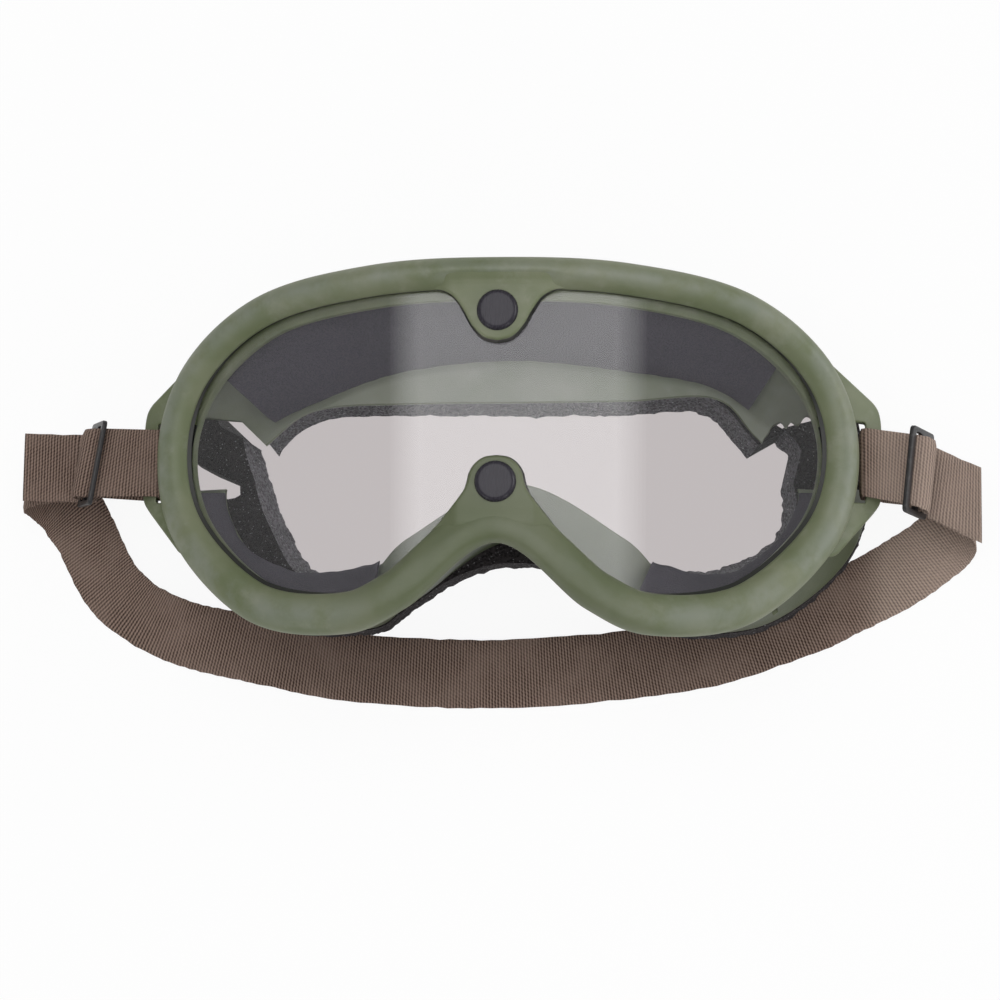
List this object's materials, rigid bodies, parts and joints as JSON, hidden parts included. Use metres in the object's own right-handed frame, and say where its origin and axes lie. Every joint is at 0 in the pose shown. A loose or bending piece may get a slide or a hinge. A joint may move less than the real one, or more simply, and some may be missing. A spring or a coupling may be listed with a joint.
{
  "type": "dust goggles",
  "caption": "Dust goggles with a rolled rubber frame, one bowed clear lens held by snap tabs, foam padding and an elastic headband with slides.",
  "frame": {"origin": "middle of the object's bounding box, on the table it lies on", "axes": "+X to the right as seen from the front, +Y towards the brow, +Z from the face side out through the lens"},
  "size_m": [0.2541, 0.109, 0.0619],
  "materials": {
    "rubber_green": "matte moulded rubber",
    "lens_clear": "clear sheet",
    "snap_black": "black enamel",
    "snap_metal": "plated",
    "foam_grey": "open-cell foam",
    "webbing_brown": "woven elastic webbing",
    "slide_black": "blackened"
  },
  "bodies": {
    "goggles": {"frame": "rubber_green", "lens": "lens_clear", "top_snap_stud": "snap_metal", "top_snap_post": "snap_metal", "nose_snap_stud": "snap_metal", "nose_snap_post": "snap_metal", "brow_vent_foam": "foam_grey", "left_cheek_vent_foam": "foam_grey", "right_cheek_vent_foam": "foam_grey", "brow_face_foam": "foam_grey", "cheek_face_foam": "foam_grey", "headband": "webbing_brown", "left_strap_end": "webbing_brown", "right_strap_end": "webbing_brown"},
    "top_tab": {"top_lens_tab": "rubber_green", "top_snap_cap": "snap_black", "top_snap_socket": "snap_metal"},
    "nose_tab": {"nose_lens_tab": "rubber_green", "nose_snap_cap": "snap_black", "nose_snap_socket": "snap_metal"},
    "left_slide": {"left_slide": "slide_black"},
    "right_slide": {"right_slide": "slide_black"}
  },
  "joints": [
    {"name": "top_tab_hinge", "type": "hinge", "parent": "goggles", "child": "top_tab", "pos_m": [0.005, 0.04635, 0.05985], "axis": [-1, 0, 0], "range_deg": [0, 75]},
    {"name": "nose_tab_hinge", "type": "hinge", "parent": "goggles", "child": "nose_tab", "pos_m": [0.005, -0.00782, 0.05985], "axis": [1, 0, 0], "range_deg": [0, 75]},
    {"name": "left_slide_travel", "type": "slide", "parent": "goggles", "child": "left_slide", "axis": [-0.9998, 0.0175, 0], "range_m": [-0.006, 0.006], "deforming": ["left_strap_end"]},
    {"name": "right_slide_travel", "type": "slide", "parent": "goggles", "child": "right_slide", "axis": [0.9744, -0.225, 0], "range_m": [-0.003, 0.006], "deforming": ["right_strap_end"]}
  ]
}
